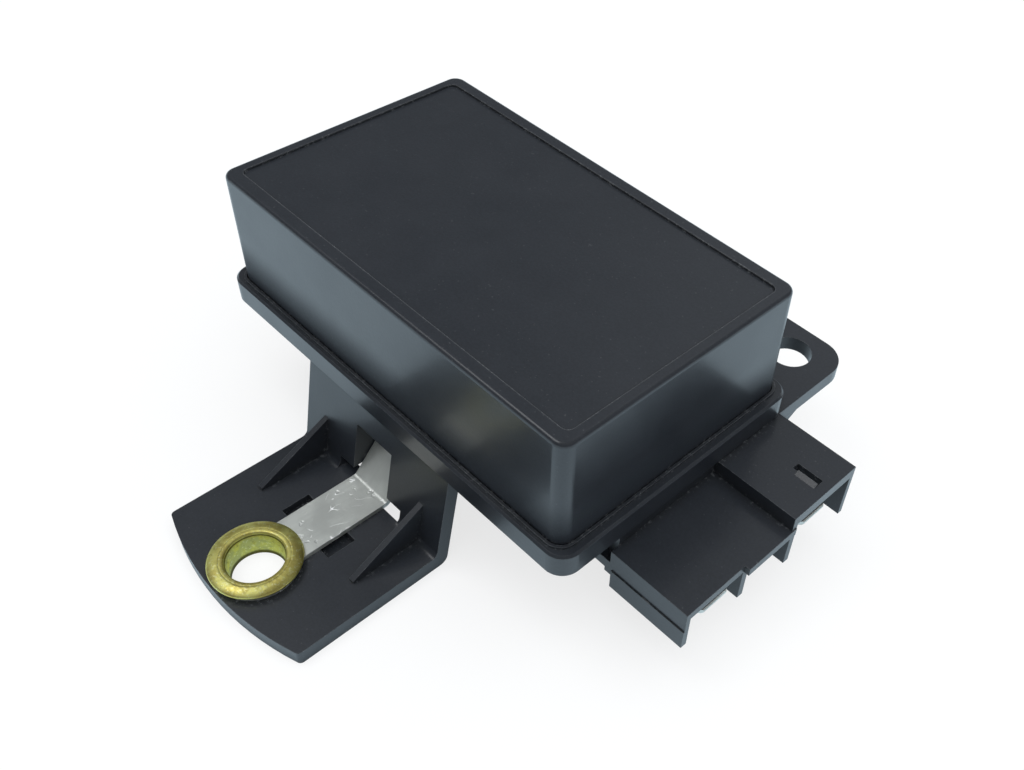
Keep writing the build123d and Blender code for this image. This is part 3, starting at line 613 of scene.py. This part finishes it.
class REGULATOR_OT_housing(bpy.types.Operator):
    """Finish the base, the cover and the seal between them"""

    bl_idname = "regulator.finish_housing"
    bl_label = "Housing"

    def execute(self, context):
        looks = context.scene.regulator_finishes
        plastic, worn = list(looks.plastic), list(looks.worn_and_highlight_plastic)
        rough = looks.plastic_roughness
        dress("base", moulded_plastic("base_plastic", plastic, worn, rough + BASE_ROUGHER,
                                      BASE_EDGE))
        dress("cover", moulded_plastic("cover_plastic", plastic, worn, rough, COVER_EDGE,
                                       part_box("cover")[1].z - FOOT_SHADE_BELOW))
        dress("cover_seal", dull_sealant("sealant", SEALANT))
        return {"FINISHED"}


class REGULATOR_OT_metal(bpy.types.Operator):
    """Finish the earth strap and the two blades"""

    bl_idname = "regulator.finish_metal"
    bl_label = "Strap and blades"

    def execute(self, context):
        tin = list(context.scene.regulator_finishes.tin)
        dress("earth_strap", tinned_sheet("strap_tin", tin, run=(1.0, 0.08, 0.08), metal=0.7))
        blades = tinned_sheet("blade_tin", tin, run=(0.08, 1.0, 1.0), metal=0.9)
        dress("supply_blade", blades)
        dress("field_blade", blades)
        return {"FINISHED"}


class REGULATOR_OT_bush(bpy.types.Operator):
    """Turn the flanged earth bush with its rolled edges"""

    bl_idname = "regulator.turn_bush"
    bl_label = "Earth bush"

    def execute(self, context):
        looks = context.scene.regulator_finishes
        mesh = bpy.data.meshes.new("flanged_bush")
        turned = bmesh.new()
        rings = []
        for step in range(BUSH_TURNS):
            angle = 2 * math.pi * step / BUSH_TURNS
            rings.append([
                turned.verts.new((radius * MM * math.cos(angle), radius * MM * math.sin(angle),
                                  height * MM))
                for radius, height in BUSH_SECTION
            ])
        count = len(BUSH_SECTION)
        for here, there in zip(rings, rings[1:] + rings[:1]):
            for index in range(count):
                after = (index + 1) % count
                turned.faces.new((here[index], there[index], there[after], here[after]))
        bmesh.ops.recalc_face_normals(turned, faces=turned.faces)
        turned.to_mesh(mesh)
        turned.free()
        for polygon in mesh.polygons:
            polygon.use_smooth = True
        mesh.set_sharp_from_angle(angle=BUSH_SHARP_ANGLE)
        bush = bpy.data.objects.new("flanged_bush", mesh)
        context.scene.collection.objects.link(bush)
        mesh.materials.append(passivated_bush("bush_brass", list(looks.bush),
                                              list(looks.bush_deep)))
        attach(bush, BODY)
        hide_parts("earth_bush")
        return {"FINISHED"}


class REGULATOR_OT_board(bpy.types.Operator):
    """Finish the circuit board, the heat sink and the fasteners"""

    bl_idname = "regulator.finish_board"
    bl_label = "Circuit board"

    def execute(self, context):
        low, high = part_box("circuit_board")
        board = list(context.scene.regulator_finishes.board)
        dress("circuit_board", board_laminate("board_laminate", board, BOARD_TRACK,
                                              low.z, high.z))
        dress("heat_sink", folded_metal("sink_aluminium", SINK_ALUMINIUM, roughness=0.34,
                                        run=(0.06, 1.0, 1.0)))
        dress("insulating_pad", moulded_case("pad_silicone", PAD_SILICONE, roughness=0.7))
        steel = folded_metal("fastener_steel", SCREW_STEEL, roughness=0.3, run=(1.0, 1.0, 0.1))
        for node in ("board_screws", "clamp_screw", "clamp_nut"):
            dress(node, steel)
        return {"FINISHED"}


class REGULATOR_OT_parts(bpy.types.Operator):
    """Finish the transistors, diodes, resistors and capacitors"""

    bl_idname = "regulator.finish_parts"
    bl_label = "Parts on the board"

    def execute(self, context):
        self.finish_power_transistor()
        for node, (colour, height) in UPRIGHT_CASES.items():
            self.finish_upright(node, colour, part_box(node)[1].z - height * MM)
        for node, (colour, bands, axis, length) in BARRELS.items():
            self.finish_barrel(node, colour, bands, axis, length * MM / 2)
        return {"FINISHED"}

    def finish_power_transistor(self):
        tab_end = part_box("power_transistor")[0].x + POWER_TAB_LENGTH
        case_end = tab_end + POWER_CASE_LENGTH

        def is_metal(finish):
            x = finish.axes(finish.place())[0]
            return x.between(tab_end - SEAM, tab_end, 1.0, 0.0).greater(
                x.between(case_end, case_end + SEAM))

        dress("power_transistor", cased_part("case_epoxy", POWER_CASE_COLOUR, LEG_COLOUR,
                                             is_metal))

    def finish_upright(self, node, colour, body_low):
        def is_metal(finish):
            return finish.axes(finish.place())[2].between(body_low - SEAM, body_low, 1.0, 0.0)

        dress(node, cased_part(node + "_case", colour, LEG_COLOUR, is_metal))

    def finish_barrel(self, node, colour, bands, axis, half):
        low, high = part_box(node)
        middle = (low[axis] + high[axis]) / 2
        board_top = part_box("circuit_board")[1].z

        def along(finish):
            return (finish.axes(finish.place())[axis] - middle) / half

        def is_metal(finish):
            below = finish.axes(finish.place())[2].between(board_top - SEAM, board_top, 1.0, 0.0)
            return along(finish).size().between(1.0, 1.0 + 2 * BAND_BLUR).greater(below)

        def band_mask(centre):
            return lambda finish: (along(finish) - centre).size().between(
                BAND_HALF - BAND_BLUR, BAND_HALF + BAND_BLUR, 1.0, 0.0)

        stripes = [(band_mask(FIRST_BAND + BAND_PITCH * index), BAND_COLOURS[band])
                   for index, band in enumerate(bands)]
        dress(node, cased_part(node + "_body", colour, LEG_COLOUR, is_metal, stripes))


class REGULATOR_OT_stage(bpy.types.Operator):
    """Lay the floor and place the softbox, the surroundings and the camera"""

    bl_idname = "regulator.build_stage"
    bl_label = "Stage"

    def execute(self, context):
        light = context.scene.regulator_light
        self.lay_floor(context.scene, light)
        self.hang_softbox(context.scene, light)
        self.build_room(context.scene, light)
        self.place_camera(context.scene)
        context.scene.view_settings.view_transform = "Standard"
        return {"FINISHED"}

    def lay_floor(self, scene, light):
        half = light.floor_size / 2
        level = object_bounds()[0].z - FLOOR_GAP
        mesh = bpy.data.meshes.new("floor")
        corners = [(-half, -half, level), (half, -half, level), (half, half, level),
                   (-half, half, level)]
        mesh.from_pydata(corners, [], [(0, 1, 2, 3)])
        floor = bpy.data.objects.new("floor", mesh)
        scene.collection.objects.link(floor)
        floor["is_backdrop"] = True
        finish = Finish.named("pale_floor")
        camera, mirrored = finish.shown()
        # Painted shadow: the white glow fades near the regulator
        clear = finish.open_air(FLOOR_SHADE_REACH).between(0.30, 0.88, 0.68, 1.0)
        tint = finish.mixed(clear, BLACK, list(light.floor_tint))
        tint = finish.mixed(camera, tint, WHITE)
        paint = finish.mixed((camera + mirrored).limited(), FLOOR_PAINT, tint)
        plain = finish.add("ShaderNodeBsdfPrincipled", None,
                           {"Base Color": paint, "Roughness": 1.0, "Specular IOR Level": 0.0},
                           "BSDF")
        white = finish.add("ShaderNodeBsdfPrincipled", None,
                           {"Base Color": BLACK, "Specular IOR Level": 0.0,
                            "Emission Color": tint, "Emission Strength": 1.0}, "BSDF")
        share = camera * FLOOR_SEEN_WHITE + mirrored * FLOOR_MIRRORED_WHITE
        finish.shade(finish.add("ShaderNodeMixShader", None, {0: share, 1: plain, 2: white}))
        mesh.materials.append(finish.owner)

    def hang_softbox(self, scene, light):
        low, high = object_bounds()
        middle = (Vector(low) + Vector(high)) / 2
        place = middle + LAMP_REACH * Vector(LAMP_WAY)
        data = bpy.data.lights.new("overhead_softbox", "AREA")
        data.shape = "SQUARE"
        data.size = light.lamp_size
        data.energy = light.lamp_power
        data.color = LAMP_COLOUR
        lamp = bpy.data.objects.new("overhead_softbox", data)
        lamp.location = place
        lamp.rotation_mode = "QUATERNION"
        lamp.rotation_quaternion = (middle - place).to_track_quat("-Z", "Y")
        scene.collection.objects.link(lamp)

    def build_room(self, scene, light):
        scene.world = bpy.data.worlds.new("studio")
        room = Finish(scene.world, "ShaderNodeOutputWorld")
        camera, mirrored = room.shown()
        ahead = room.add("ShaderNodeTexCoord", output="Generated")
        walls = room.axes(ahead)[2].between(*WALL_FADE, 1.0, light.ceiling)
        window = room.vector("DOT_PRODUCT", ahead, WINDOW, output="Value").between(*WINDOW_FADE)
        walls = walls + window * light.window
        above = room.vector("DOT_PRODUCT", ahead, OVERHEAD, output="Value").greater(0.0)
        soft = above ** OVERHEAD_FOCUS * light.overhead + light.room
        strength = camera + mirrored * walls + (1.0 - camera - mirrored) * soft
        tint = room.mixed(camera, ROOM_COLOUR, WHITE)
        room.shade(room.add("ShaderNodeBackground", None,
                            {"Color": tint, "Strength": strength}, "Background"))

    def place_camera(self, scene):
        data = bpy.data.cameras.new("camera")
        data.sensor_width = SENSOR_WIDTH
        data.lens = CAMERA_REACH / PICTURE_WIDTH * SENSOR_WIDTH
        data.shift_x = (PICTURE_WIDTH / 2 - PRINCIPAL_POINT[0]) / PICTURE_WIDTH
        data.shift_y = (PRINCIPAL_POINT[1] - PICTURE_HEIGHT / 2) / PICTURE_WIDTH
        data.clip_start = NEAREST
        data.clip_end = FARTHEST
        camera = bpy.data.objects.new("camera", data)
        turn = Matrix((CAMERA_RIGHT, -Vector(CAMERA_DOWN), -Vector(CAMERA_AHEAD))).transposed()
        camera.matrix_world = Matrix.Translation(CAMERA_PLACE) @ turn.to_4x4()
        scene.collection.objects.link(camera)
        scene.camera = camera


class REGULATOR_PT_panel(bpy.types.Panel):
    """Lists the steps and their settings."""

    bl_idname = "REGULATOR_PT_panel"
    bl_label = "Regulator"
    bl_space_type = "VIEW_3D"
    bl_region_type = "UI"
    bl_category = "Regulator"

    def draw(self, context):
        layout = self.layout
        for group in (context.scene.regulator_finishes, context.scene.regulator_light):
            for name in group.bl_rna.properties.keys():
                if name not in ("rna_type", "name"):
                    layout.prop(group, name)
        for step in STEPS:
            layout.operator(step.bl_idname)


STEPS = (
    REGULATOR_OT_housing,
    REGULATOR_OT_metal,
    REGULATOR_OT_bush,
    REGULATOR_OT_board,
    REGULATOR_OT_parts,
    REGULATOR_OT_stage,
)
CLASSES = (RegulatorFinishes, RegulatorLight, *STEPS, REGULATOR_PT_panel)


def register():
    for made in CLASSES:
        bpy.utils.register_class(made)
    bpy.types.Scene.regulator_finishes = PointerProperty(type=RegulatorFinishes)
    bpy.types.Scene.regulator_light = PointerProperty(type=RegulatorLight)


def unregister():
    del bpy.types.Scene.regulator_light
    del bpy.types.Scene.regulator_finishes
    for made in reversed(CLASSES):
        bpy.utils.unregister_class(made)


def main():
    """Makes the whole scene."""
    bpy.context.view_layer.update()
    register()
    bpy.ops.regulator.finish_housing()
    bpy.ops.regulator.finish_metal()
    bpy.ops.regulator.turn_bush()
    bpy.ops.regulator.finish_board()
    bpy.ops.regulator.finish_parts()
    bpy.ops.regulator.build_stage()


if __name__ == "__main__":
    main()
